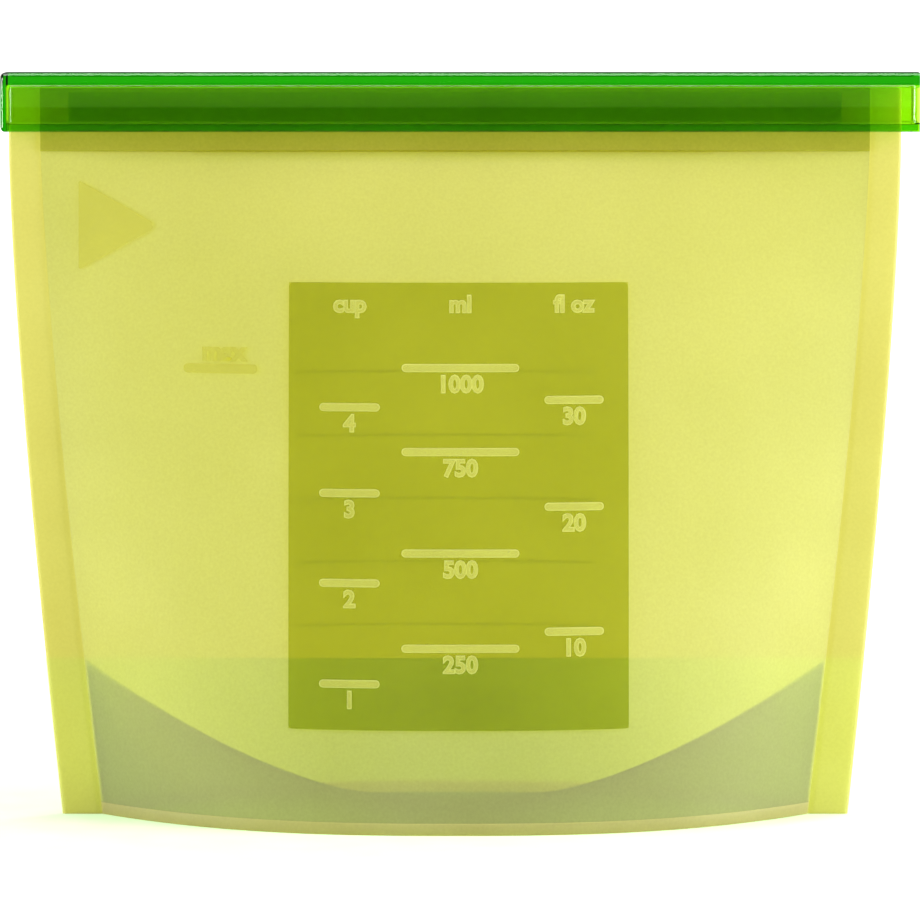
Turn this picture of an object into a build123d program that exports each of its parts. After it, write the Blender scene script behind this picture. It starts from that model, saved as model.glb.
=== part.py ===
from build123d import *
import os

# A stand-up silicone bag closed by a rigid slide bar.
# Millimetres. +Z is up, +X runs along the mouth, and the scale faces -Y.
# The origin is the middle of the base, on the surface that the bag stands on.

# ---- Bag body ----
mouth_half_width = 112.2     # middle of the bag to the outer edge of a side seam, at the mouth
base_half_width = 99.6       # the same at the table, where the open base draws the seams in
wall_height = 168.0          # table to the lower edge of the mouth bands
base_half_depth = 38.5       # middle of the base to the inside of the front wall
sheet = 0.9                  # thickness of one silicone sheet
seam_width_mouth = 8.0
seam_width_base = 10.2
fold_height = 38.5           # height of the gusset's fold where it enters the side seams
seam_inset = 0.4             # how far the pressed ends of the gusset stop short of the seams
rim_height = 3.0
rim_proud = 0.3              # how far the rims stand out beyond the walls

# Exponents that set how full the curves are
seam_curve = 1.4             # how the side seams draw in towards the base
belly_rise = 1.2             # how the belly grows downwards from the mouth
belly_round = 0.55
plan_full_base = 2.6         # how square the plan curve of a wall is, at the table
plan_full_mouth = 2.0        # the same at the mouth
spine_curve = 1.75           # how the gusset's fold climbs from the middle to the seams
gusset_arch = 1.5            # how round the gusset is from rim to rim

# ---- Mouth bands and lip beads ----
lip = 1.9                    # thickness of one mouth band
lip_corner = 1.5             # top outer corner radius of the seams, seen from the front
bead_inset = 7.2             # how far a bead stops short of its band's ends
bead_out = 2.2               # how far a bead stands out from its band
bead_round = 0.6

# ---- Slide bar ----
neck_height = 5.0            # what shows of the bands under the bar
bar_height = 14.8
bar_side = 1.6               # thickness of the front and back faces
bar_top = 3.1                # thickness of the top rail
hook_height = 2.0            # thickness of the two hooks that reach in under the beads
bar_corner = 2.0
hook_corner = 0.7
cap_thickness = 1.5
cap_round = 0.9
open_end_overhang = 4.3      # how far the open end runs on past the lips
lead_in = 0.8                # chamfer of the channel's open end
gap = 0.3                    # running clearance between the bar and the lips

# ---- Marks on the front wall ----
mark_relief = 0.5            # how far the panel, arrow and max mark stand out from the wall
groove_floor = 0.2           # silicone left under a graduation mark, out of that relief
panel_centre_x = 0.9
panel_width = 84.6
panel_foot = 25.9
panel_height = 110.0
panel_corner = 1.2
mark_height = 2.0
ml_mark_x = 1.35
ml_mark_length = 29.3
ml_mark_heights = (46.1, 69.5, 94.4, 115.0)
cup_mark_x = -26.2
cup_mark_length = 15.1
cup_mark_heights = (37.3, 62.1, 84.2, 105.3)
ounce_mark_x = 29.6
ounce_mark_length = 14.8
ounce_mark_heights = (50.2, 80.9, 107.1)

# ---- Marks on the back wall: write-on lines over a row of plain rings ----
write_line_x = -2.5
write_line_length = 77.0
write_line_thickness = 0.6
write_line_foot = 44.4
write_line_pitch = 16.6
write_line_count = 5
ring_row_height = 24.3
ring_radius = 3.4
ring_line = 0.6
ring_pitch = 10.0
ring_count = 4

# ---- Arrow and max mark on the front wall ----
arrow_from_seam = 17.6       # outer edge of the seam, at the mouth, to the arrow's flat side
arrow_drop = 17.6            # lower edge of the mouth band to the middle of the arrow
arrow_length = 19.4
arrow_height = 22.2
arrow_round = 1.2
max_mark_x = -58.6
max_mark_height = 114.4
max_mark_length = 18.6
max_mark_thickness = 2.3

# ---- Sizes that follow ----
lip_half_length = mouth_half_width
band_half_length = mouth_half_width - seam_width_mouth
bar_bottom = wall_height + neck_height
bar_ceiling = bar_bottom + bar_height - bar_top
lip_top = bar_ceiling - gap
bead_bottom = bar_bottom + hook_height + gap
cavity_half = lip + bead_out + gap
bar_depth = 2 * (cavity_half + bar_side)
cap_inner_x = -lip_half_length - gap
open_end_x = lip_half_length + open_end_overhang
arrow_x = arrow_from_seam - mouth_half_width
arrow_middle_height = wall_height - arrow_drop

# Heights at which the curved walls are drawn, as shares of the wall above the rim
wall_shares = (0.0, 0.1, 0.22, 0.37, 0.52, 0.67, 0.79, 0.885, 0.95, 1.0)
wall_levels = [rim_height + share * (wall_height - rim_height) for share in wall_shares]
# Stations across a wall, as shares of its half width
wall_stations = (-1.0, -0.94, -0.8, -0.6, -0.3, 0.0, 0.3, 0.6, 0.8, 0.94, 1.0)
# Stations across the gusset, as shares of its half depth
gusset_stations = (-1.0, -0.85, -0.6, -0.3, 0.0, 0.3, 0.6, 0.85, 1.0)
# Places along the gusset at which its section is drawn, as shares of its half length
gusset_shares = (0.1, 0.25, 0.4, 0.55, 0.7, 0.82, 0.91, 0.97, 1.0)

FRONT = -1
BACK = 1


def outer_half(z):
    """Half the width over the side seams at height z."""
    drawn_in = (mouth_half_width - base_half_width) * (1 - z / wall_height) ** seam_curve
    return mouth_half_width - drawn_in


def inner_half(z):
    """Half the width between the side seams at height z."""
    return outer_half(z) - seam_width_base - (seam_width_mouth - seam_width_base) * z / wall_height


def wall_y(x, z):
    """Distance from the seam plane to the inside face of a wall."""
    belly = base_half_depth * (1 - (z / wall_height) ** belly_rise) ** belly_round
    fullness = plan_full_base + (plan_full_mouth - plan_full_base) * z / wall_height
    return belly * (1 - abs(x / inner_half(z)) ** fullness)


def spine_z(x):
    """Height of the gusset's fold at x."""
    return fold_height * abs(x / inner_half(fold_height)) ** spine_curve


def wall_layer(side, levels, inner, outer):
    """A layer of a curved wall, between two distances out from its inside face."""
    with BuildPart() as layer:
        for z in levels:
            half = inner_half(z)
            with BuildSketch(Plane.XY.offset(z)):
                with BuildLine():
                    near = Spline(*[(s * half, side * (wall_y(s * half, z) + inner)) for s in wall_stations])
                    far = Spline(*[(s * half, side * (wall_y(s * half, z) + outer)) for s in wall_stations])
                    Line(near @ 0, far @ 0)
                    Line(near @ 1, far @ 1)
                make_face()
        loft()
    return layer.part


def gusset_form(places, sheets_in, sheets_up):
    """The solid under a gusset skin: its foot is sheets_in inside the walls and its crest
    sheets_up above the fold, both counted in sheet thicknesses."""
    with BuildPart() as form:
        for x in places:
            half = wall_y(x, 0) - sheets_in * sheet
            crest = spine_z(x) + sheets_up * sheet
            with BuildSketch(Plane.YZ.offset(x)):
                with BuildLine():
                    skin = Spline(*[(s * half, crest * (1 - abs(s) ** gusset_arch)) for s in gusset_stations])
                    Line(skin @ 1, skin @ 0)
                make_face()
        loft()
    return form.part


def relief(outline, layer, side=FRONT):
    """What an outline drawn on the seam plane, pushed out to one side, cuts out of a wall's layer."""
    reach = -side * 2 * base_half_depth
    return [layer & extrude(face, amount=reach, mode=Mode.PRIVATE) for face in outline.faces()]


def graduation(centre_x, length, heights):
    """Round-ended marks, one above the other, drawn on the seam plane."""
    with BuildSketch(Plane.XZ) as marks:
        with Locations(*[(centre_x, z) for z in heights]):
            SlotOverall(length, mark_height)
    return marks.sketch


def finish(piece, name):
    """Label a piece and write it to its own file."""
    piece.part.label = name
    export_step(piece.part, f"parts/{name}.step")


os.makedirs("parts", exist_ok=True)

# ---- Front and back walls ----
with BuildPart() as front_wall:
    add(wall_layer(FRONT, wall_levels, 0, sheet))
finish(front_wall, "front_wall")

with BuildPart() as back_wall:
    add(wall_layer(BACK, wall_levels, 0, sheet))
finish(back_wall, "back_wall")

# ---- Bottom rims, where the walls and the gusset are bonded ----
rim_levels = (0, rim_height / 2, rim_height)

with BuildPart() as base_front_rim:
    add(wall_layer(FRONT, rim_levels, -sheet, sheet + rim_proud))
    split(bisect_by=Plane.XZ, keep=Keep.TOP)
finish(base_front_rim, "base_front_rim")

with BuildPart() as base_back_rim:
    add(wall_layer(BACK, rim_levels, -sheet, sheet + rim_proud))
    split(bisect_by=Plane.XZ, keep=Keep.BOTTOM)
finish(base_back_rim, "base_back_rim")

# ---- Side seams, which run on up between the ends of the mouth bands and the bar ----
seam_levels = [0] + wall_levels

with BuildPart() as right_side_seam:
    with BuildSketch(Plane.XZ):
        with BuildLine():
            outer_edge = Spline(*[(outer_half(z), z) for z in seam_levels])
            inner_edge = Spline(*[(inner_half(z), z) for z in seam_levels])
            Line(outer_edge @ 0, inner_edge @ 0)
            Line(outer_edge @ 1, inner_edge @ 1)
        make_face()
        with BuildLine():
            FilletPolyline(
                (band_half_length, wall_height),
                (lip_half_length, wall_height),
                (lip_half_length, lip_top),
                (band_half_length, lip_top),
                radius=(0, 0, lip_corner, 0),
                close=True,
            )
        make_face()
    extrude(amount=sheet, both=True)
finish(right_side_seam, "right_side_seam")

with BuildPart() as left_side_seam:
    add(right_side_seam.part.mirror(Plane.YZ))
finish(left_side_seam, "left_side_seam")

# ---- Base gusset: a skin over two hollows, with both layers pressed together at the ends ----
skin_half = inner_half(0) * (1 - 2 * sheet / base_half_depth) ** (1 / plan_full_base)
hollow_half = inner_half(0) * (1 - 2.4 * sheet / base_half_depth) ** (1 / plan_full_base)
skin_places = [-skin_half * share for share in reversed(gusset_shares)]
skin_places += [0]
skin_places += [skin_half * share for share in gusset_shares]

with BuildPart() as base_gusset:
    add(gusset_form(skin_places, 1, 1))
    for side in (-1, 1):
        hollow_places = [side * hollow_half * share for share in gusset_shares]
        add(gusset_form(hollow_places, 2, 0), mode=Mode.SUBTRACT)
    with BuildSketch(Plane.XZ) as pressed_ends:
        with BuildLine():
            Polyline(
                (hollow_half, 0),
                (inner_half(0) - seam_inset, 0),
                (inner_half(fold_height) - seam_inset, fold_height),
                (hollow_half, spine_z(hollow_half)),
                close=True,
            )
        make_face()
        mirror(about=Plane.YZ)
    extrude(amount=sheet, both=True)
    for neighbour in (front_wall, back_wall, base_front_rim, base_back_rim):
        add(neighbour.part, mode=Mode.SUBTRACT)
finish(base_gusset, "base_gusset")

# ---- Mouth bands and lip beads ----
with BuildPart() as front_mouth_band:
    with BuildSketch(Plane.XZ):
        with Locations((0, (wall_height + lip_top) / 2)):
            Rectangle(2 * band_half_length, lip_top - wall_height)
    extrude(amount=lip)
finish(front_mouth_band, "front_mouth_band")

with BuildPart() as back_mouth_band:
    add(front_mouth_band.part.mirror(Plane.XZ))
finish(back_mouth_band, "back_mouth_band")

with BuildPart() as front_lip_bead:
    with BuildSketch(Plane.YZ.offset(bead_inset - band_half_length)):
        with BuildLine():
            Polyline(
                (-lip, bead_bottom),
                (-lip - bead_out, bead_bottom),
                (-lip - bead_out, (bead_bottom + lip_top) / 2),
                (-lip, lip_top - lip_corner),
                close=True,
            )
        make_face()
    extrude(amount=2 * (band_half_length - bead_inset))
    fillet(front_lip_bead.edges().filter_by(Axis.X).group_by(Axis.Y)[0], radius=bead_round)
finish(front_lip_bead, "front_lip_bead")

with BuildPart() as back_lip_bead:
    add(front_lip_bead.part.mirror(Plane.XZ))
finish(back_lip_bead, "back_lip_bead")

# ---- Slide bar: a C-shaped channel, open below and at its right end ----
with BuildPart() as slide_bar:
    with BuildSketch(Plane.YZ.offset(cap_inner_x)):
        with Locations((0, bar_bottom + bar_height / 2)):
            Rectangle(bar_depth, bar_height)
        with Locations((0, (bar_bottom + hook_height + bar_ceiling) / 2)):
            Rectangle(2 * cavity_half, bar_ceiling - bar_bottom - hook_height, mode=Mode.SUBTRACT)
        with Locations((0, bar_bottom + hook_height / 2)):
            Rectangle(2 * (lip + gap), hook_height, mode=Mode.SUBTRACT)
    extrude(amount=open_end_x - cap_inner_x)
    upper_edges = slide_bar.edges().filter_by(Axis.X).group_by(Axis.Z)[-1]
    fillet(upper_edges, radius=bar_corner)
    lower_edges = slide_bar.edges().filter_by(Axis.X).group_by(Axis.Z)[0]
    fillet(lower_edges, radius=hook_corner)
    open_end = slide_bar.faces().sort_by(Axis.X)[-1]
    mouth_edges = open_end.edges().filter_by_position(Axis.Y, -cavity_half, cavity_half)
    mouth_edges = mouth_edges.filter_by_position(Axis.Z, bar_bottom + hook_height, bar_ceiling)
    chamfer(mouth_edges, length=lead_in)
finish(slide_bar, "slide_bar")

with BuildPart() as bar_end_cap:
    with BuildSketch(Plane.YZ.offset(cap_inner_x)):
        with Locations((0, bar_bottom + bar_height / 2)):
            RectangleRounded(bar_depth, bar_height, bar_corner)
    extrude(amount=-cap_thickness)
    fillet(bar_end_cap.faces().sort_by(Axis.X)[0].edges(), radius=cap_round)
finish(bar_end_cap, "bar_end_cap")

# ---- Scale panel and its marks ----
with BuildSketch(Plane.XZ) as panel_outline:
    with Locations((panel_centre_x, panel_foot + panel_height / 2)):
        RectangleRounded(panel_width, panel_height, panel_corner)

groove_outlines = {
    "ml_marks": graduation(ml_mark_x, ml_mark_length, ml_mark_heights),
    "cup_marks": graduation(cup_mark_x, cup_mark_length, cup_mark_heights),
    "fluid_ounce_marks": graduation(ounce_mark_x, ounce_mark_length, ounce_mark_heights),
}

relief_layer = wall_layer(FRONT, wall_levels, sheet, sheet + mark_relief)
groove_layer = wall_layer(FRONT, wall_levels, sheet, sheet + groove_floor)

with BuildPart() as scale_panel:
    add(relief(panel_outline.sketch, relief_layer))
    for outline in groove_outlines.values():
        for face in outline.faces():
            extrude(face, amount=2 * base_half_depth, mode=Mode.SUBTRACT)
finish(scale_panel, "scale_panel")

for name, outline in groove_outlines.items():
    with BuildPart() as marks:
        add(relief(outline, groove_layer))
    finish(marks, name)

# ---- Direction arrow and max mark ----
with BuildSketch(Plane.XZ) as arrow_outline:
    with BuildLine():
        Polyline(
            (arrow_x, arrow_middle_height - arrow_height / 2),
            (arrow_x + arrow_length, arrow_middle_height),
            (arrow_x, arrow_middle_height + arrow_height / 2),
            close=True,
        )
    make_face()
    fillet(arrow_outline.vertices(), radius=arrow_round)

with BuildPart() as direction_arrow:
    add(relief(arrow_outline.sketch, relief_layer))
finish(direction_arrow, "direction_arrow")

with BuildSketch(Plane.XZ) as max_outline:
    with Locations((max_mark_x, max_mark_height)):
        SlotOverall(max_mark_length, max_mark_thickness)

with BuildPart() as max_mark:
    add(relief(max_outline.sketch, relief_layer))
finish(max_mark, "max_mark")

# ---- Write-on lines and plain rings on the back wall ----
back_relief_layer = wall_layer(BACK, wall_levels, sheet, sheet + mark_relief)

with BuildSketch(Plane.XZ) as line_outlines:
    line_row = [(write_line_x, write_line_foot + n * write_line_pitch) for n in range(write_line_count)]
    with Locations(*line_row):
        Rectangle(write_line_length, write_line_thickness)

with BuildPart() as write_lines:
    add(relief(line_outlines.sketch, back_relief_layer, BACK))
finish(write_lines, "write_lines")

with BuildSketch(Plane.XZ) as ring_outlines:
    with Locations((write_line_x, ring_row_height)):
        with GridLocations(ring_pitch, ring_pitch, ring_count, 1):
            Circle(ring_radius)
            Circle(ring_radius - ring_line, mode=Mode.SUBTRACT)

with BuildPart() as plain_rings:
    add(relief(ring_outlines.sketch, back_relief_layer, BACK))
finish(plain_rings, "plain_rings")
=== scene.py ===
import bmesh
import bpy
import numpy as np
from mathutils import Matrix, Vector


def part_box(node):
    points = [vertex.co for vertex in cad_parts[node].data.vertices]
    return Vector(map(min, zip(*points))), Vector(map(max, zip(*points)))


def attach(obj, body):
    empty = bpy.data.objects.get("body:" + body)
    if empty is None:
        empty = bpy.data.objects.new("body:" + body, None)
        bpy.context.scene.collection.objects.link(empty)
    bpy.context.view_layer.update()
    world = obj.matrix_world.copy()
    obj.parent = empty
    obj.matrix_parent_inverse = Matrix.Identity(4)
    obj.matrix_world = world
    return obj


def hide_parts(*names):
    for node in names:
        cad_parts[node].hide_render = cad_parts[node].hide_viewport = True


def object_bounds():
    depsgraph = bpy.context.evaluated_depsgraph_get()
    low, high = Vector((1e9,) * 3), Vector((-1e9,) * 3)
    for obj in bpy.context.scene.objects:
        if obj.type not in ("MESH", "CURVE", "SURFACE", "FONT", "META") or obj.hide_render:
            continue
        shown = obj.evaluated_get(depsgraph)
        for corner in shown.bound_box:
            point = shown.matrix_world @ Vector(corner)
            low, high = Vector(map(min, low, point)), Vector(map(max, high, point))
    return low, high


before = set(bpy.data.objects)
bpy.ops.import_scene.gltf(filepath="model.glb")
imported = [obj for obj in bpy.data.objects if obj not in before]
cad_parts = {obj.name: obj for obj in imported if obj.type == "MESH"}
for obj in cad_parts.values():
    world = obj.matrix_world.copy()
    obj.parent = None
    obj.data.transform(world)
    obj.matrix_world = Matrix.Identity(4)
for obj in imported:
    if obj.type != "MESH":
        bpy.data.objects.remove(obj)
cad_low, cad_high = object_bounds()

MM = 0.001
BAG = "bag"
BAR = "bar"
FRONT = -1
BACK = 1

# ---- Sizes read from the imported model, in metres ----
wall_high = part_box("front_wall")[1]
seam_low, seam_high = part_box("right_side_seam")
rim_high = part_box("base_back_rim")[1]
bar_low, bar_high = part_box("slide_bar")
cap_low, cap_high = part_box("bar_end_cap")
panel_low, panel_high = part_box("scale_panel")
arrow_low, arrow_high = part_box("direction_arrow")
max_low, max_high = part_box("max_mark")
gusset_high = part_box("base_gusset")[1]

SHEET = seam_high.y                      # thickness of one silicone sheet
WALL_TOP = wall_high.z
RIM_HEIGHT = rim_high.z
MOUTH_HALF = seam_high.x
BASE_INNER = seam_low.x                  # between the seams, on the table
SEAM_MOUTH = 8.0 * MM                    # width of a side seam at the mouth
SEAM_BASE = 10.2 * MM                    # and on the table
RIM_PROUD = 0.3 * MM                     # how far a bottom rim stands out from its wall
BASE_DEPTH = rim_high.y - SHEET - RIM_PROUD
FOLD_HEIGHT = gusset_high.z
SEAM_CURVE = 1.4                         # powers in the formulas below
BELLY_RISE = 1.2
BELLY_ROUND = 0.55
PLAN_FULL_BASE = 2.6
PLAN_FULL_MOUTH = 2.0
SPINE_CURVE = 1.75
GUSSET_ARCH = 1.5
LAY_GAP = 0.02 * MM                      # gap that keeps two pieces from sharing a face


# ---- Shape of the bag ----
def outer_half(z):
    """Half width over the seams: mouth half width less (the draw-in at the table) * (1 - z/top)^1.4."""
    base_outer = BASE_INNER + SEAM_BASE
    return MOUTH_HALF - (MOUTH_HALF - base_outer) * np.clip(1 - z / WALL_TOP, 0, 1) ** SEAM_CURVE


def inner_half(z):
    """Half width between the seams: the outer half width less a seam that narrows evenly upwards."""
    return outer_half(z) - SEAM_BASE - (SEAM_MOUTH - SEAM_BASE) * z / WALL_TOP


def wall_y(x, z):
    """Seam plane to the inside of a wall: depth(z) * (1 - |x / half|^n), with depth(z) = base depth *
    (1 - (z/top)^1.2)^0.55 and n going evenly from 2.6 at the table to 2 at the mouth."""
    share = np.clip(z / WALL_TOP, 0, 1)
    belly = BASE_DEPTH * (1 - share ** BELLY_RISE) ** BELLY_ROUND
    full = PLAN_FULL_BASE + (PLAN_FULL_MOUTH - PLAN_FULL_BASE) * share
    return belly * np.clip(1 - np.abs(x / inner_half(z)) ** full, 0, 1)


def soft_wave(x, z, side):
    """A slow unevenness of the moulded sheet: three crossing sine waves, fading to nothing at every edge."""
    fade = np.clip(1 - np.abs(x / inner_half(z)) ** 4, 0, 1)
    fade = fade * np.sin(np.pi * np.clip(z / WALL_TOP, 0, 1)) ** 0.7
    wave = np.sin(x / (31 * MM) + side) * np.sin(z / (27 * MM) + 0.8)
    wave += 0.6 * np.sin(x / (17 * MM) + z / (40 * MM) + 2.1 * side)
    wave += 0.4 * np.sin(z / (13 * MM) - x / (55 * MM) + 1.3)
    return 0.16 * MM * wave * fade


def wall_out(x, z, side, out=0.0):
    """Point on a wall, at a distance out from its inside face, on the front (-1) or the back (+1)."""
    y = wall_y(x, z) + soft_wave(x, z, side) + out
    return np.stack([x, side * y, z], axis=-1)


# ---- Mesh helpers ----
def mesh_piece(name, points, faces, smooth=True):
    """A mesh object at the origin from an array of points and an array or list of faces."""
    mesh = bpy.data.meshes.new(name)
    mesh.from_pydata(np.asarray(points).reshape(-1, 3).tolist(), [], [list(map(int, f)) for f in faces])
    mesh.update()
    if smooth:
        mesh.shade_smooth()
        mesh.set_sharp_from_angle(angle=np.radians(38))
    piece = bpy.data.objects.new(name, mesh)
    bpy.context.scene.collection.objects.link(piece)
    return piece


def grid_quads(rows, cols, first=0, flip=False):
    """Quads of a rows by cols grid of points, numbered row by row from first."""
    at = first + np.arange(rows * cols).reshape(rows, cols)
    quads = np.stack([at[:-1, :-1], at[:-1, 1:], at[1:, 1:], at[1:, :-1]], axis=-1).reshape(-1, 4)
    return quads[:, ::-1] if flip else quads


def shell(name, outer, inner, flip=False):
    """A closed thin shell: an outer grid, an inner grid the other way round, and a strip round their edge."""
    rows, cols = outer.shape[:2]
    count = rows * cols
    at = np.arange(count).reshape(rows, cols)
    edge = np.concatenate([at[0, :-1], at[:-1, -1], at[-1, :0:-1], at[:0:-1, 0]])
    strip = np.stack([edge, edge + count, np.roll(edge, -1) + count, np.roll(edge, -1)], axis=-1)
    faces = np.concatenate([
        grid_quads(rows, cols, 0, flip),
        grid_quads(rows, cols, count, not flip),
        strip[:, ::-1] if flip else strip,
    ])
    return mesh_piece(name, np.concatenate([outer.reshape(-1, 3), inner.reshape(-1, 3)]), faces)


def along_bar(name, section_at, places):
    """A closed (y, z) section that may change along X, carried through the given places, with flat
    ends. Sections run anticlockwise seen from +X."""
    sections = np.stack([np.column_stack([np.full(len(section_at(x)), x), section_at(x)]) for x in places])
    rows, count = sections.shape[:2]
    at = np.arange(rows * count).reshape(rows, count)
    after = np.roll(at, -1, axis=1)
    sides = np.stack([at[:-1], after[:-1], after[1:], at[1:]], axis=-1).reshape(-1, 4).tolist()
    return mesh_piece(name, sections, sides + [at[0, ::-1].tolist(), at[-1].tolist()])


def rounded(corners, radii, steps=5):
    """A polygon with each corner replaced by a tangent arc of its own radius, as steps + 1 points."""
    corners = [np.array(c, dtype=float) for c in corners]
    points = []
    for k, here in enumerate(corners):
        radius = radii[k] if np.ndim(radii) else radii
        if radius <= 0:
            points.append(here)
            continue
        before = corners[k - 1] - here
        after = corners[(k + 1) % len(corners)] - here
        before /= np.linalg.norm(before)
        after /= np.linalg.norm(after)
        half = np.arccos(np.clip(before @ after, -1, 1)) / 2
        middle = here + (before + after) / np.linalg.norm(before + after) * radius / np.sin(half)
        start = here + before * radius / np.tan(half) - middle
        end = here + after * radius / np.tan(half) - middle
        for step in np.linspace(0, 1, steps + 1):
            spoke = start * (1 - step) + end * step
            points.append(middle + spoke / np.linalg.norm(spoke) * radius)
    return np.array(points)


def ride_for(piece, body, *nodes, slot=None):
    """Ride a piece on its body and let it stand for its CAD nodes. slot is not used."""
    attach(piece, body)
    if nodes:
        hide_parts(*nodes)


# ---- Materials ----
def linear(hex_colour):
    """sRGB hex to linear red, green, blue and 1."""
    parts = np.array([int(hex_colour[k:k + 2], 16) for k in (1, 3, 5)]) / 255
    parts = np.where(parts <= 0.04045, parts / 12.92, ((parts + 0.055) / 1.055) ** 2.4)
    return (*parts.tolist(), 1.0)


def add_node(tree, kind, links=(), **settings):
    """Add a node. A setting names an input socket, or else a property of the node; links pairs an
    input socket with the output that feeds it."""
    made = tree.nodes.new(kind)
    for key, value in settings.items():
        label = key.replace("_", " ")
        if hasattr(made, key):
            setattr(made, key, value)
        elif key.startswith("i") and key[1:].isdigit():
            made.inputs[int(key[1:])].default_value = value
        else:
            made.inputs[label].default_value = value
    for socket, source in links:
        tree.links.new(source, made.inputs[socket])
    return made


def new_material(name):
    """An empty node material and its tree."""
    made = bpy.data.materials.new(name)
    made.use_nodes = True
    made.node_tree.nodes.clear()
    return made, made.node_tree


def ramp(tree, factor, stops):
    """A colour ramp from pairs of place and hex colour."""
    made = add_node(tree, "ShaderNodeValToRGB", [("Fac", factor)])
    band = made.color_ramp
    while len(band.elements) < len(stops):
        band.elements.new(0.5)
    for element, (place, colour) in zip(band.elements, stops):
        element.position = place
        element.color = linear(colour)
    return made.outputs["Color"]


def silicone(name, through, body, clear, scatter, roughness, grain=0.02, polished=None, dyed=True):
    """Moulded translucent silicone. Where light enters a sheet, the share named clear goes straight
    through, tinted by the colours named through, and the rest is scattered back by the satin skin or
    onwards by the cloudy body. Where it leaves, it passes. The dye inside takes light away with every
    millimetre crossed, so folds, seams and doubled sheets turn a deeper green. Both tints drift over
    about 40 mm. polished gives the low and high x, z corners of a patch with a clearer skin. A mark
    too thin for its dye to count has dyed set to False."""
    made, tree = new_material(name)
    place = add_node(tree, "ShaderNodeTexCoord").outputs["Object"]
    drift = add_node(tree, "ShaderNodeTexNoise", [("Vector", place)], Scale=25.0, Detail=2.0, Roughness=0.5)
    cloud = add_node(tree, "ShaderNodeTexNoise", [("Vector", place)], Scale=1400.0, Detail=2.0)
    through_tint = ramp(tree, drift.outputs["Fac"], [(0.3, through[0]), (0.7, through[1])])
    body_tint = ramp(tree, drift.outputs["Fac"], [(0.3, body[0]), (0.7, body[1])])
    bump = add_node(tree, "ShaderNodeBump", [("Height", cloud.outputs["Fac"])],
                    Strength=0.1, Distance=grain * MM)
    rough = add_node(tree, "ShaderNodeMapRange", [("Value", drift.outputs["Fac"])],
                     i1=0.3, i2=0.7, i3=roughness - 0.04, i4=roughness + 0.05)
    share = add_node(tree, "ShaderNodeMapRange", [("Value", cloud.outputs["Fac"])],
                     i1=0.25, i2=0.75, i3=clear - 0.02, i4=clear + 0.02).outputs[0]
    if polished:
        apart = add_node(tree, "ShaderNodeSeparateXYZ", [("Vector", place)])
        inside = None
        for axis, low, high in (("X", polished[0], polished[2]), ("Z", polished[1], polished[3])):
            near = add_node(tree, "ShaderNodeMath", [(0, apart.outputs[axis])], operation="COMPARE",
                            i1=(low + high) / 2, i2=(high - low) / 2).outputs[0]
            inside = near if inside is None else add_node(
                tree, "ShaderNodeMath", [(0, inside), (1, near)], operation="MULTIPLY").outputs[0]
        share = add_node(tree, "ShaderNodeMath", [(0, inside), (2, share)], operation="MULTIPLY_ADD",
                         i1=POLISHED_CLEAR - clear).outputs[0]
    skin = add_node(tree, "ShaderNodeBsdfPrincipled",
                    [("Base Color", body_tint), ("Roughness", rough.outputs[0]), ("Normal", bump.outputs[0])],
                    IOR=1.41)
    scattered = add_node(tree, "ShaderNodeBsdfTranslucent",
                         [("Color", body_tint), ("Normal", bump.outputs[0])])
    clear_part = add_node(tree, "ShaderNodeBsdfTransparent", [("Color", through_tint)])
    milky_part = add_node(tree, "ShaderNodeMixShader",
                          [(1, skin.outputs[0]), (2, scattered.outputs[0])], i0=scatter)
    entering = add_node(tree, "ShaderNodeMixShader",
                        [(0, share), (1, milky_part.outputs[0]), (2, clear_part.outputs[0])])
    leaving = add_node(tree, "ShaderNodeBsdfTransparent")
    side = add_node(tree, "ShaderNodeNewGeometry").outputs["Backfacing"]
    both = add_node(tree, "ShaderNodeMixShader",
                    [(0, side), (1, entering.outputs[0]), (2, leaving.outputs[0])])
    output = add_node(tree, "ShaderNodeOutputMaterial", [("Surface", both.outputs[0])])
    if dyed:
        dye = add_node(tree, "ShaderNodeVolumeAbsorption", Color=linear(DYE), Density=DYE_DENSITY)
        tree.links.new(dye.outputs[0], output.inputs["Volume"])
    return made


# The dye in the silicone takes most blue, then red and green: per metre, density * (1 - colour).
DYE = "#E6E418"
DYE_DENSITY = 1500.0
POLISHED_CLEAR = 0.9                     # share of light that goes straight through polished silicone
panel_patch = (panel_low.x, panel_low.z, panel_high.x, panel_high.z)

# Platinum-cured silicone, moulded between satin steel faces: a milky yellow-green that glows
# where light comes through and goes deeper green where sheets lie over each other.
wall_silicone = silicone("translucent_silicone_moulded_satin", ("#EEEFB0", "#E9EBA8"),
                         ("#EEE8B2", "#E8E2A8"), clear=0.6, scatter=0.45, roughness=0.42)
# Painted shade: the gusset is the walls' silicone tinted a deeper green, for the shade it lies in low in the
# bag, so that the fold shows through the walls.
painted_shade_gusset_silicone = silicone("silicone_gusset_painted_shade", ("#CCE048", "#C6DA3C"),
                           ("#B4D024", "#ACC81C"), clear=0.66, scatter=0.45, roughness=0.42)
# The front wall is the same, but polished where the scale panel backs it.
front_silicone = silicone("translucent_silicone_front_wall", ("#EEEFB0", "#E9EBA8"),
                          ("#EEE8B2", "#E8E2A8"), clear=0.6, scatter=0.45, roughness=0.42,
                          polished=panel_patch)
# The bonded seams are two sheets thick and more milky, so less is seen through them.
seam_silicone = silicone("silicone_seam_bonded", ("#E8E0A0", "#E4DA98"),
                         ("#E6DDA0", "#DED494"), clear=0.45, scatter=0.45, roughness=0.45)
# The bands at the mouth are thick, so they are a deeper olive.
band_silicone = silicone("silicone_band_moulded", ("#F2EE9C", "#ECE890"),
                         ("#DAD864", "#D2D058"), clear=0.62, scatter=0.4, roughness=0.4)
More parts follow.
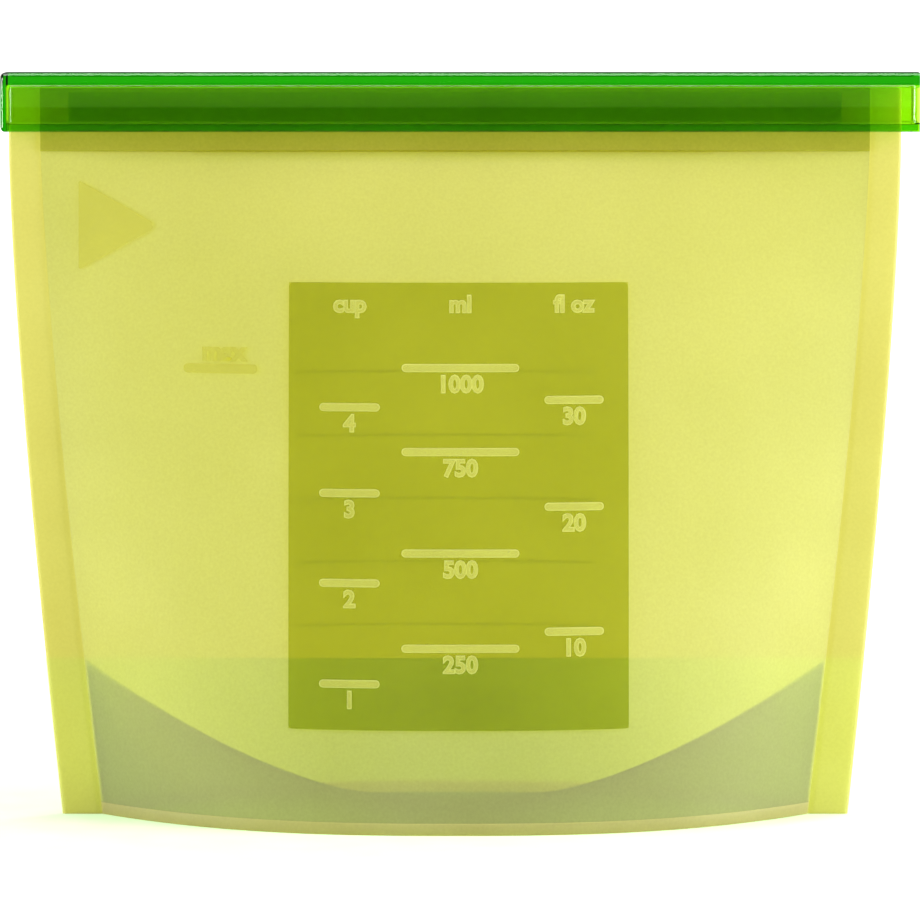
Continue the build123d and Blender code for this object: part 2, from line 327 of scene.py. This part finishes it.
# The scale panel comes from a polished part of the mould: clearer, glossier and greener.
polished_silicone = silicone("silicone_panel_polished", ("#EEF4A8", "#EAF0A0"),
                             ("#D8DC8C", "#D0D680"), clear=POLISHED_CLEAR, scatter=0.4,
                             roughness=0.25, grain=0.005)
# The arrow and the fill mark are half polished.
relief_silicone = silicone("silicone_relief_half_polished", ("#F2F0B0", "#EEECA8"),
                           ("#F0EAB0", "#E8E2A4"), clear=0.8, scatter=0.4, roughness=0.3,
                           grain=0.005, dyed=False)
# The marks are matt, so they look paler than the panel round them. The step round each is paler still, a
# painted highlight for the light that the edges of a mark catch.
groove_silicone = silicone("silicone_mark_matt", ("#F4F2C0", "#F0EEB8"),
                           ("#EEEAA0", "#E8E494"), clear=0.74, scatter=0.4, roughness=0.5, dyed=False)
painted_highlight_step_silicone = silicone("silicone_mark_step_painted_highlight", ("#F8F6CC", "#F4F2C4"),
                         ("#F4F0A8", "#EEEAA0"), clear=0.5, scatter=0.4, roughness=0.5, dyed=False)


def clear_plastic():
    """Injection-moulded transparent styrene plastic, dyed green through: a glassy skin with faint flow
    lines along the bar, colour that deepens with every millimetre crossed, and light let through to
    what lies inside."""
    made, tree = new_material("dyed_clear_plastic_injection_moulded")
    place = add_node(tree, "ShaderNodeTexCoord").outputs["Object"]
    flow = add_node(tree, "ShaderNodeMapping", [("Vector", place)], Scale=(0.06, 1.0, 1.0))
    streak = add_node(tree, "ShaderNodeTexNoise", [("Vector", flow.outputs[0])], Scale=420.0, Detail=2.0)
    bump = add_node(tree, "ShaderNodeBump", [("Height", streak.outputs["Fac"])],
                    Strength=0.1, Distance=0.02 * MM)
    rough = add_node(tree, "ShaderNodeMapRange", [("Value", streak.outputs["Fac"])],
                     i1=0.3, i2=0.7, i3=0.02, i4=0.06)
    glass = add_node(tree, "ShaderNodeBsdfPrincipled",
                     [("Roughness", rough.outputs[0]), ("Normal", bump.outputs[0])],
                     Base_Color=linear("#F2FBE8"), IOR=1.56, Transmission_Weight=1.0)
    lamp_way = add_node(tree, "ShaderNodeBsdfTransparent", Color=linear("#F2FBE8"))
    path = add_node(tree, "ShaderNodeLightPath")
    unseen = add_node(tree, "ShaderNodeMath",
                      [(0, path.outputs["Is Shadow Ray"]), (1, path.outputs["Is Diffuse Ray"])],
                      operation="MAXIMUM")
    surface = add_node(tree, "ShaderNodeMixShader",
                       [(0, unseen.outputs[0]), (1, glass.outputs[0]), (2, lamp_way.outputs[0])])
    dye = add_node(tree, "ShaderNodeVolumeAbsorption", Color=linear("#E7F900"), Density=2000.0)
    add_node(tree, "ShaderNodeOutputMaterial",
             [("Surface", surface.outputs[0]), ("Volume", dye.outputs[0])])
    return made


bar_plastic = clear_plastic()


# ---- Walls, with the bottom rims ----
def wall_piece(name, side, node):
    """One wall from the table to the mouth band, as a shell. Rows climb the wall, columns cross it."""
    rows = np.concatenate([[0, RIM_HEIGHT], np.linspace(RIM_HEIGHT, WALL_TOP, 110)[1:]])
    across = np.sin(np.linspace(-np.pi / 2, np.pi / 2, 151))
    z = np.repeat(rows[:, None], len(across), axis=1)
    x = across[None, :] * inner_half(z)
    outer = wall_out(x, z, side, SHEET)
    inner = wall_out(x, z, side, 0.0)
    piece = shell(name, outer, inner, flip=side == BACK)
    piece.data.materials.append(front_silicone if side == FRONT else wall_silicone)
    ride_for(piece, BAG, node, slot="silicone_wall")


wall_piece("front_wall_sheet", FRONT, "front_wall")
wall_piece("back_wall_sheet", BACK, "back_wall")


def rim_piece(name, side, node):
    """The bonded strip along the bottom edge: a rounded section carried along the foot of the wall."""
    across = np.sin(np.linspace(-np.pi / 2, np.pi / 2, 121))
    outs = np.array([0.0, 0.15, 0.3, 0.3, 0.15, 0.0]) * MM + SHEET
    heights = np.array([0.0, 0.1, 0.5, RIM_HEIGHT / MM - 0.5, RIM_HEIGHT / MM - 0.1, RIM_HEIGHT / MM]) * MM
    z = np.repeat(heights[:, None], len(across), axis=1)
    x = across[None, :] * inner_half(z)
    outer = wall_out(x, z, side, outs[:, None])
    skin = SHEET + LAY_GAP
    inner = wall_out(x, z, side, skin)
    for edge in (0, -1):
        outer[edge] = wall_out(x[edge], z[edge], side, skin + 0.01 * MM)
    piece = shell(name, outer, inner, flip=side == BACK)
    piece.data.materials.append(seam_silicone)
    ride_for(piece, BAG, node, slot="silicone_seam")


rim_piece("front_bottom_rim", FRONT, "base_front_rim")
rim_piece("back_bottom_rim", BACK, "base_back_rim")


# ---- Gusset ----
def spine_z(x):
    """Height of the fold: fold height * |x / end|^1.75."""
    return FOLD_HEIGHT * np.abs(x / inner_half(FOLD_HEIGHT)) ** SPINE_CURVE


def gusset_piece():
    """The folded base, over u along the bag and s from rim to rim: z = crest(x) * (1 - |s|^1.5) and
    x = u * (half width between the seams at z, less a small gap), settled by four rounds of the two.
    Its two layers meet as a flat fin near the seams, which keeps inside the walls, and the underside
    is the same form one sheet in."""
    seam_gap = 0.4 * MM
    wall_gap = 0.03 * MM
    foot_gap = 0.1 * MM
    along = np.sin(np.linspace(-np.pi / 2, np.pi / 2, 161))
    across = np.sin(np.linspace(-np.pi / 2, np.pi / 2, 61))
    u = np.repeat(along[None, :], len(across), axis=0)
    s = np.repeat(across[:, None], len(along), axis=1)
    arch = 1 - np.abs(s) ** GUSSET_ARCH
    x = u * inner_half(0.0)
    for _ in range(4):
        x = u * (inner_half(spine_z(x) * arch) - seam_gap)
    z = spine_z(x) * arch
    half = np.maximum(wall_y(x, 0 * x) - foot_gap, SHEET)
    room = np.maximum(wall_y(x, z) - wall_gap, wall_gap * np.abs(s))
    y = np.sign(s) * np.minimum(np.abs(s) * half, room)
    under_share = np.maximum(half - SHEET, 0.04 * half) / half
    top = np.stack([x, y, z + SHEET * arch + 0.05 * MM], axis=-1)
    under = np.stack([x, y * under_share, z], axis=-1)
    piece = shell("base_gusset_sheet", top, under)
    # Painted shade: the gusset's material is a deeper green than the walls' same silicone.
    piece.data.materials.append(painted_shade_gusset_silicone)
    ride_for(piece, BAG, "base_gusset", slot="silicone_wall")


gusset_piece()


# ---- Side seams ----
def seam_piece(name, sign, node):
    """A flat bonded strip in the seam plane, with a rounded outer edge, up past the mouth bands. Across
    the strip the half thickness is one sheet, and near the outer edge sheet * sqrt(1 - t^2). A shallow
    valley, 0.25 mm deep and about 1 mm wide, runs along its inner edge where the press ends."""
    top = seam_high.z
    heights = np.concatenate([np.linspace(0, WALL_TOP, 90), np.linspace(WALL_TOP, top, 10)[1:]])
    corner = 1.5 * MM
    round_over = np.linspace(0, np.pi / 2, 7)
    heights = np.concatenate([heights[heights < top - corner], top - corner + corner * np.sin(round_over)])
    across = np.concatenate([np.linspace(0, 0.3, 9), np.linspace(0.3, 0.9, 8)[1:],
                             0.9 + 0.1 * np.sin(np.linspace(0, np.pi / 2, 7)[1:])])
    z = np.repeat(heights[:, None], len(across), axis=1)
    t = np.repeat(across[None, :], len(heights), axis=0)
    drop = corner - np.sqrt(np.clip(corner ** 2 - np.clip(z - top + corner, 0, corner) ** 2, 0, None))
    low_z = np.minimum(z, WALL_TOP)
    width = outer_half(low_z) - drop - inner_half(low_z)
    x = inner_half(low_z) + t * width
    valley = 0.25 * MM * np.exp(-(t * width / (0.9 * MM)) ** 2)
    half = (SHEET - valley) * np.sqrt(np.clip(1 - (np.clip(t - 0.9, 0, 0.1) / 0.1001) ** 2, 0, 1))
    front = np.stack([sign * x, -half, z], axis=-1)
    back = np.stack([sign * x, half, z], axis=-1)
    piece = shell(name, front, back, flip=sign < 0)
    piece.data.materials.append(seam_silicone)
    ride_for(piece, BAG, node, slot="silicone_seam")


seam_piece("left_seam_strip", -1, "left_side_seam")
seam_piece("right_seam_strip", 1, "right_side_seam")


# ---- Mouth bands and beads ----
def band_pieces(side, band_node, bead_node, word):
    """A band with a rounded section, and the wedge bead that the bar hooks over, both along X."""
    low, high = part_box(band_node)
    lip = high.y - low.y
    near, far = side * LAY_GAP, side * lip
    section = rounded([(near, low.z), (far, low.z), (far, high.z), (near, high.z)],
                      [0, 0.5 * MM, 0.7 * MM, 0])
    ends = np.array([0, 0.3, 1.0, 2.0]) * MM
    middle = np.linspace(low.x + 6 * MM, high.x - 6 * MM, 24)
    places = np.concatenate([low.x + ends, middle, high.x - ends[::-1]])
    band = along_bar(word + "_mouth_band_strip", lambda x: section[::side], places)
    band.data.materials.append(band_silicone)
    ride_for(band, BAG, band_node, slot="silicone_lip")
    low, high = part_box(bead_node)
    near, far = (low.y, high.y) if side > 0 else (high.y, low.y)
    wedge = rounded([(near, low.z), (far, low.z), (far, (low.z + high.z) / 2), (near, high.z)],
                    [0, 0.5 * MM, 1.0 * MM, 0])
    bead = along_bar(word + "_lip_bead_strip", lambda x: wedge[::side], np.linspace(low.x, high.x, 24))
    bead.data.materials.append(band_silicone)
    ride_for(bead, BAG, bead_node, slot="silicone_lip")


band_pieces(FRONT, "front_mouth_band", "front_lip_bead", "front")
band_pieces(BACK, "back_mouth_band", "back_lip_bead", "back")


# ---- Slide bar ----
def bar_pieces():
    """The C-shaped channel: outer outline with round corners, inner outline with small ones, joined at
    the two hooks, carried along X. Between its rails each side face stands out by a small step, which
    fades in over half a millimetre near either end. The cap is a plain outline domed outwards."""
    low, high = bar_low, bar_high
    half = high.y
    step = 0.4 * MM
    side_wall = 1.6 * MM
    roof = 3.1 * MM
    hook = 2.0 * MM
    slot_half = 2.2 * MM
    cavity = half - side_wall
    face_low, face_high = low.z + 2.0 * MM, high.z - 3.4 * MM
    radii = np.array([0.3, 0.7, 0.1, 0.3, 0.3, 0.1, 1.6, 1.6, 0.1, 0.3, 0.3, 0.1, 0.7, 0.3,
                      0.3, 0.4, 0.8, 0.8, 0.4, 0.3]) * MM

    def section_at(x):
        near = np.clip((x - low.x - 0.9 * MM) / (0.5 * MM), 0, 1)
        near = near * np.clip((high.x - 1.2 * MM - x) / (0.5 * MM), 0, 1)
        out = step * np.sin(np.pi / 2 * near)
        rail = half - step
        face = rail + max(out, 0.02 * MM)
        right = [(slot_half, low.z), (rail, low.z), (rail, face_low), (face, face_low + 0.3 * MM),
                 (face, face_high), (rail, face_high + 0.3 * MM), (rail, high.z)]
        left = [(-y, z) for y, z in reversed(right)]
        inside = [(-slot_half, low.z + hook), (-cavity, low.z + hook), (-cavity, high.z - roof),
                  (cavity, high.z - roof), (cavity, low.z + hook), (slot_half, low.z + hook)]
        return rounded(right + left + inside, radii, 5)

    ends = np.array([0.0, 0.3, 0.85, 0.95, 1.05, 1.15, 1.25, 1.35, 1.45, 1.6, 1.75, 2.0]) * MM
    middle = np.linspace(low.x + 4 * MM, high.x - 4 * MM, 40)
    places = np.concatenate([low.x + ends, middle, high.x - ends[::-1]])
    bar = along_bar("clear_slide_bar", section_at, places)
    bar.data.materials.append(bar_plastic)
    ride_for(bar, BAR, "slide_bar", slot="bar_plastic")

    outline = rounded([(half, low.z), (half, high.z), (-half, high.z), (-half, low.z)],
                      np.array([0.7, 1.8, 1.8, 0.7]) * MM, 6)
    middle = outline.mean(axis=0)
    thick = cap_high.x - cap_low.x
    rings = [np.column_stack([np.full(len(outline), cap_high.x), outline])]
    for angle in np.linspace(0, np.pi / 2, 9):
        inset = 1.3 * MM * (1 - np.cos(angle))
        shrunk = middle + (outline - middle) * (1 - inset / np.abs(outline - middle).max(axis=0))
        x = cap_high.x - thick * (0.25 + 0.75 * np.sin(angle))
        rings.append(np.column_stack([np.full(len(outline), x), shrunk]))
    rings = np.stack(rings)
    at = np.arange(rings.shape[0] * rings.shape[1]).reshape(rings.shape[:2])
    after = np.roll(at, -1, axis=1)
    sides = np.stack([at[:-1], at[1:], after[1:], after[:-1]], axis=-1).reshape(-1, 4).tolist()
    cap = mesh_piece("clear_bar_cap", rings, sides + [at[0].tolist(), at[-1, ::-1].tolist()])
    cap.data.materials.append(bar_plastic)
    ride_for(cap, BAR, "bar_end_cap", slot="bar_plastic")


bar_pieces()


# ---- Marks that follow the wall ----
def flat_outline(shape, thickness):
    """A flat slab in the x, z plane from a closed outline, as a bmesh."""
    made = bmesh.new()
    near = [made.verts.new((x, 0, z)) for x, z in shape]
    made.faces.new(near)
    grown = bmesh.ops.extrude_face_region(made, geom=made.faces[:])
    moved = [v for v in grown["geom"] if isinstance(v, bmesh.types.BMVert)]
    bmesh.ops.translate(made, verts=moved, vec=(0, -thickness, 0))
    bmesh.ops.recalc_face_normals(made, faces=made.faces[:])
    return made


def slot_outline(centre_x, centre_z, length, height):
    """A round-ended mark as a closed outline."""
    radius = height / 2
    turn = np.linspace(-np.pi / 2, np.pi / 2, 9)
    right = np.column_stack([centre_x + length / 2 - radius + radius * np.cos(turn),
                             centre_z + radius * np.sin(turn)])
    left = np.column_stack([centre_x - length / 2 + radius - radius * np.cos(turn),
                            centre_z - radius * np.sin(turn)])
    return np.concatenate([right, left])


def lettering(words, thickness, grow):
    """Solid flat letters in the x, z plane from (text, centre x, centre z, size) rows, each stroke made
    thicker by grow on both sides."""
    made = bmesh.new()
    for text, x, z, size in words:
        curve = bpy.data.curves.new("letters", "FONT")
        curve.body = text
        curve.size = size
        curve.align_x = "CENTER"
        curve.align_y = "CENTER"
        curve.offset = grow
        curve.extrude = thickness / 2
        curve.resolution_u = 3
        holder = bpy.data.objects.new("letters", curve)
        bpy.context.scene.collection.objects.link(holder)
        bpy.context.view_layer.update()
        mesh = bpy.data.meshes.new_from_object(holder.evaluated_get(bpy.context.evaluated_depsgraph_get()))
        points = np.empty(len(mesh.vertices) * 3)
        mesh.vertices.foreach_get("co", points)
        points = points.reshape(-1, 3)
        placed = np.column_stack([points[:, 0] + x, -thickness / 2 - points[:, 2], points[:, 1] + z])
        mesh.vertices.foreach_set("co", placed.ravel())
        made.from_mesh(mesh)
        bpy.data.objects.remove(holder)
        bpy.data.curves.remove(curve)
        bpy.data.meshes.remove(mesh)
    bmesh.ops.remove_doubles(made, verts=made.verts[:], dist=1e-6)
    bmesh.ops.recalc_face_normals(made, faces=made.faces[:])
    return made


def join(parts):
    """Several bmeshes as one."""
    whole = bmesh.new()
    for part in parts:
        carrier = bpy.data.meshes.new("carrier")
        part.to_mesh(carrier)
        whole.from_mesh(carrier)
        bpy.data.meshes.remove(carrier)
        part.free()
    return whole


def onto_wall(name, flat, side, base, thickness, pitch=3.0 * MM):
    """Cut a flat slab into strips by planes a pitch apart, so that it can bend, then lay it on a wall:
    depth 0 to thickness in the slab becomes base to base + thickness out from the wall's outside."""
    spots = np.array([v.co[:] for v in flat.verts])
    for axis, normal in ((0, (1, 0, 0)), (2, (0, 0, 1))):
        for place in np.arange(np.ceil(spots[:, axis].min() / pitch) * pitch, spots[:, axis].max(), pitch):
            point = Vector((0, 0, 0))
            point[axis] = place
            bmesh.ops.bisect_plane(flat, geom=flat.verts[:] + flat.edges[:] + flat.faces[:],
                                   plane_co=point, plane_no=normal, dist=1e-7)
    bmesh.ops.recalc_face_normals(flat, faces=flat.faces[:])
    mesh = bpy.data.meshes.new(name)
    flat.to_mesh(mesh)
    flat.free()
    points = np.empty(len(mesh.vertices) * 3)
    mesh.vertices.foreach_get("co", points)
    points = points.reshape(-1, 3)
    depth = np.clip(-points[:, 1] / thickness, 0, 1)
    out = SHEET + base + depth * thickness
    mesh.vertices.foreach_set("co", wall_out(points[:, 0], points[:, 2], side, out).ravel())
    if side == BACK:
        mesh.flip_normals()
    mesh.update()
    mesh.shade_smooth()
    mesh.set_sharp_from_angle(angle=np.radians(30))
    piece = bpy.data.objects.new(name, mesh)
    bpy.context.scene.collection.objects.link(piece)
    return piece


MARK_HEIGHT = 2.0 * MM
LETTER_SIZE = 5.7 * MM                   # font size that gives numerals about 5 mm tall once thickened
LETTER_GROW = 0.32 * MM                  # added to both sides of a stroke
NUMERAL_DROP = 4.15 * MM                 # middle of a mark to the middle of its numerals
HEADER_Z = 130.5 * MM
STEP = 0.25 * MM                         # width of the step round each mark, paler as a painted edge highlight
PANEL_RELIEF = 0.5 * MM                  # how far the panel, the arrow and the fill mark stand out
MARK_THICK = 0.12 * MM
STEP_OUT = 0.54 * MM                     # from the wall's outside to the foot of each layer of a mark
FACE_OUT = 0.68 * MM

# Column of the scale: its header, middle and length of its marks, and the height in mm and value of each.
COLUMNS = {
    "ml_marks": ("ml", 1.35 * MM, 29.3 * MM,
                 [(46.1, "250"), (69.5, "500"), (94.4, "750"), (115.0, "1000")]),
    "cup_marks": ("cup", -26.2 * MM, 15.1 * MM,
                  [(37.3, "1"), (62.1, "2"), (84.2, "3"), (105.3, "4")]),
    "fluid_ounce_marks": ("fl oz", 29.6 * MM, 14.8 * MM,
                          [(50.2, "10"), (80.9, "20"), (107.1, "30")]),
}


def column_flat(header, x, length, rows, thickness, inset):
    """One column of the scale, flat: its round-ended marks, its numerals and its header, with every
    outline drawn in by inset."""
    shapes = [slot_outline(x, z * MM, length - 2 * inset, MARK_HEIGHT - 2 * inset) for z, _ in rows]
    words = [(text, x, z * MM - NUMERAL_DROP, LETTER_SIZE) for z, text in rows]
    words.append((header, x, HEADER_Z, LETTER_SIZE))
    bars = [flat_outline(shape, thickness) for shape in shapes]
    return join(bars + [lettering(words, thickness, LETTER_GROW - inset)])


def panel_piece():
    """The raised polished panel. Its outline is a rectangle with small round corners."""
    low, high = panel_low, panel_high
    outline = rounded([(low.x, low.z), (high.x, low.z), (high.x, high.z), (low.x, high.z)], 1.2 * MM)
    flat = flat_outline(outline, PANEL_RELIEF)
    panel = onto_wall("scale_panel_plate", flat, FRONT, LAY_GAP, PANEL_RELIEF)
    panel.data.materials.append(polished_silicone)
    ride_for(panel, BAG, "scale_panel", slot="polished_relief")


panel_piece()
for node_name, (header, x, length, rows) in COLUMNS.items():
    step = onto_wall(node_name + "_step", column_flat(header, x, length, rows, MARK_THICK, 0.0),
                     FRONT, STEP_OUT, MARK_THICK)
    # The step's paler material is a painted highlight round each mark.
    step.data.materials.append(painted_highlight_step_silicone)
    ride_for(step, BAG, node_name, slot="groove_floor")
    face = onto_wall(node_name + "_face", column_flat(header, x, length, rows, MARK_THICK, STEP),
                     FRONT, FACE_OUT, MARK_THICK)
    face.data.materials.append(groove_silicone)
    ride_for(face, BAG, slot="groove_floor")


def arrow_and_max():
    """The raised triangle that shows which way the bar slides shut, and the fill line with its word."""
    relief = PANEL_RELIEF
    drop, grow, reach_on = 0.8 * MM, 1.0 * MM, 2.2 * MM      # arrow against its CAD outline
    word_size, word_rise = 6.4 * MM, 2.9 * MM
    low, high = arrow_low, arrow_high
    middle = (low.z + high.z) / 2 - drop
    reach = (high.z - low.z) / 2 + grow
    outline = rounded([(low.x, middle - reach), (high.x + reach_on, middle), (low.x, middle + reach)],
                      np.array([0.4, 1.4, 0.4]) * MM)
    arrow = onto_wall("arrow_plate", flat_outline(outline, relief), FRONT, LAY_GAP, relief)
    arrow.data.materials.append(relief_silicone)
    ride_for(arrow, BAG, "direction_arrow", slot="polished_relief")
    low, high = max_low, max_high
    middle = (low.x + high.x) / 2
    bar = flat_outline(slot_outline(middle, (low.z + high.z) / 2, high.x - low.x, high.z - low.z), relief)
    word = lettering([("max", middle + 0.8 * MM, high.z + word_rise, word_size)], relief, LETTER_GROW)
    mark = onto_wall("max_line_and_word", join([bar, word]), FRONT, LAY_GAP, relief)
    mark.data.materials.append(relief_silicone)
    ride_for(mark, BAG, "max_mark", slot="polished_relief")


arrow_and_max()


def back_marks():
    """Write-on lines and plain rings, raised on the back wall."""
    relief = 0.3 * MM
    thick = 0.6 * MM
    line_count, ring_count = 5, 4
    low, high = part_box("write_lines")
    levels = np.linspace(low.z + thick / 2, high.z - thick / 2, line_count)
    lines = [flat_outline(slot_outline((low.x + high.x) / 2, z, high.x - low.x, thick), relief)
             for z in levels]
    piece = onto_wall("write_on_lines", join(lines), BACK, LAY_GAP, relief)
    piece.data.materials.append(polished_silicone)
    ride_for(piece, BAG, "write_lines", slot="polished_relief")
    low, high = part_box("plain_rings")
    radius = (high.z - low.z) / 2
    middle_z = (low.z + high.z) / 2
    rings = []
    for x in np.linspace(low.x + radius, high.x - radius, ring_count):
        turn = np.linspace(0, 2 * np.pi, 41)[:-1]
        made = bmesh.new()
        loops = []
        for size in (radius, radius - thick):
            for depth in (0, -relief):
                loops.append([made.verts.new((x + size * np.cos(a), depth, middle_z + size * np.sin(a)))
                              for a in turn])
        near_out, far_out, near_in, far_in = loops
        for k in range(len(turn)):
            after = (k + 1) % len(turn)
            made.faces.new((near_out[k], near_out[after], near_in[after], near_in[k]))
            made.faces.new((far_out[k], far_in[k], far_in[after], far_out[after]))
            made.faces.new((near_out[k], far_out[k], far_out[after], near_out[after]))
            made.faces.new((near_in[k], near_in[after], far_in[after], far_in[k]))
        rings.append(made)
    piece = onto_wall("plain_ring_row", join(rings), BACK, LAY_GAP, relief)
    piece.data.materials.append(polished_silicone)
    ride_for(piece, BAG, "plain_rings", slot="polished_relief")


back_marks()


# ---- Stage: a plain pale floor, soft lights and the camera ----
BACKDROP = 1.5                           # brightness of the lit backdrop, in the light that the camera sees
ROOM = 0.38                              # brightness of the room that lights the bag
ROOM_MIRRORED = 0.10                     # and of the room in mirrored light
FLOOR_GLOW = 0.25
SHADE = "#98BC20"                        # colour of the shade painted on the floor behind the bag
SHADE_HALF = 95 * MM                     # half its width
SHADE_START = 30 * MM                    # distance over which it comes in
FLOOR_NEAR, FLOOR_FAR = -4.0, 0.334
FLOOR_HALF = 4.0
LENS = 248.8
CAMERA_AWAY = 1.6
CAMERA_HEIGHT = 0.230
AIM_HEIGHT = 0.090


def surround():
    """A bright lit backdrop for what is seen, straight or through the bag, and a dimmer room for what
    is reflected or lit by it, so that glossy edges stay deep in colour."""
    world = bpy.data.worlds.new("bright_surround")
    bpy.context.scene.world = world
    world.use_nodes = True
    tree = world.node_tree
    tree.nodes.clear()
    path = add_node(tree, "ShaderNodeLightPath")
    room = add_node(tree, "ShaderNodeMapRange", [("Value", path.outputs["Is Diffuse Ray"])],
                    i3=ROOM_MIRRORED, i4=ROOM).outputs[0]
    seen = add_node(tree, "ShaderNodeMath",
                    [(0, path.outputs["Is Camera Ray"]), (1, path.outputs["Is Transmission Ray"])],
                    operation="MAXIMUM").outputs[0]
    span = add_node(tree, "ShaderNodeMix", [("Factor", seen), ("A", room)], B=BACKDROP).outputs[0]
    light = add_node(tree, "ShaderNodeBackground", [("Strength", span)], Color=linear("#FFFFFF"))
    add_node(tree, "ShaderNodeOutputWorld", [("Surface", light.outputs[0])])


def floor(name, y_near, y_far, colour):
    """A flat plain floor at the height that the bag stands on, with a faint fleck. It is lit a little
    from below, as a light table is, and stays dark in mirrored light so that the bar keeps its depth.
    Behind the bag a soft green shade is painted on it, in place of the light that dyed silicone lets
    fall there. It fades with the cosine of x out to SHADE_HALF and comes in over SHADE_START."""
    made, tree = new_material(name)
    place = add_node(tree, "ShaderNodeTexCoord").outputs["Object"]
    fleck = add_node(tree, "ShaderNodeTexNoise", [("Vector", place)], Scale=60.0, Detail=3.0)
    plain = ramp(tree, fleck.outputs["Fac"], [(0.3, colour[0]), (0.7, colour[1])])
    apart = add_node(tree, "ShaderNodeSeparateXYZ", [("Vector", place)])
    turn = add_node(tree, "ShaderNodeMapRange", [(0, apart.outputs["X"])], i1=-SHADE_HALF, i2=SHADE_HALF,
                    i3=-np.pi / 2, i4=np.pi / 2)
    sideways = add_node(tree, "ShaderNodeMath", [(0, turn.outputs[0])], operation="COSINE")
    behind = add_node(tree, "ShaderNodeMapRange", [(0, apart.outputs["Y"])], i1=0.0, i2=SHADE_START)
    strength = add_node(tree, "ShaderNodeMath", [(0, sideways.outputs[0]), (1, behind.outputs[0])],
                        operation="MULTIPLY").outputs[0]
    shaded = add_node(tree, "ShaderNodeMixRGB", [("Fac", strength), ("Color1", plain)],
                      Color2=linear(SHADE))
    tone = shaded.outputs[0]
    paint = add_node(tree, "ShaderNodeBsdfPrincipled", [("Base Color", tone), ("Emission Color", tone)],
                     Roughness=0.7, Emission_Strength=FLOOR_GLOW)
    dull = add_node(tree, "ShaderNodeBsdfDiffuse", Color=linear("#303030"))
    mirrored = add_node(tree, "ShaderNodeLightPath").outputs["Is Glossy Ray"]
    seen = add_node(tree, "ShaderNodeMixShader", [(0, mirrored), (1, paint.outputs[0]), (2, dull.outputs[0])])
    add_node(tree, "ShaderNodeOutputMaterial", [("Surface", seen.outputs[0])])
    level = -0.05 * MM
    corners = [(-FLOOR_HALF, y_near, level), (FLOOR_HALF, y_near, level),
               (FLOOR_HALF, y_far, level), (-FLOOR_HALF, y_far, level)]
    piece = mesh_piece(name, corners, [(0, 1, 2, 3)], smooth=False)
    piece.data.materials.append(made)


def lamp(name, spot, size, power):
    """A soft rectangular lamp that faces the middle of the bag."""
    data = bpy.data.lights.new(name, "AREA")
    data.shape = "RECTANGLE"
    data.size, data.size_y = size
    data.energy = power
    made = bpy.data.objects.new(name, data)
    bpy.context.scene.collection.objects.link(made)
    made.location = spot
    aim = Vector((0, 0, AIM_HEIGHT)) - Vector(spot)
    made.rotation_mode = "QUATERNION"
    made.rotation_quaternion = aim.to_track_quat("-Z", "Y")


def camera():
    """Far enough for a gentle perspective, looking a little down on the bag."""
    middle = (cad_low + cad_high) / 2
    data = bpy.data.cameras.new("camera")
    data.sensor_width = 36.0
    data.lens = LENS
    made = bpy.data.objects.new("camera", data)
    bpy.context.scene.collection.objects.link(made)
    made.location = (middle.x, -CAMERA_AWAY, CAMERA_HEIGHT)
    aim = Vector((middle.x, 0, AIM_HEIGHT)) - made.location
    made.rotation_mode = "QUATERNION"
    made.rotation_quaternion = aim.to_track_quat("-Z", "Y")
    data.clip_start, data.clip_end = 0.05, 20.0
    bpy.context.scene.camera = made


surround()
floor("pale_table_top", FLOOR_NEAR, FLOOR_FAR, ("#D6F4C6", "#DAF6CC"))
lamp("right_soft_lamp", (0.85, -0.25, 0.30), (0.5, 0.7), 15.0)
lamp("left_soft_lamp", (-0.85, -0.25, 0.28), (0.4, 0.6), 9.0)
lamp("top_soft_lamp", (0.0, 0.1, 1.1), (1.0, 0.8), 9.0)
lamp("back_right_soft_lamp", (0.70, 0.55, 0.30), (0.4, 0.6), 7.0)
camera()
bpy.context.scene.view_settings.view_transform = "Standard"
cycles = bpy.context.scene.cycles
cycles.transparent_max_bounces = 32
cycles.max_bounces = 10
cycles.diffuse_bounces = 2
cycles.glossy_bounces = 4
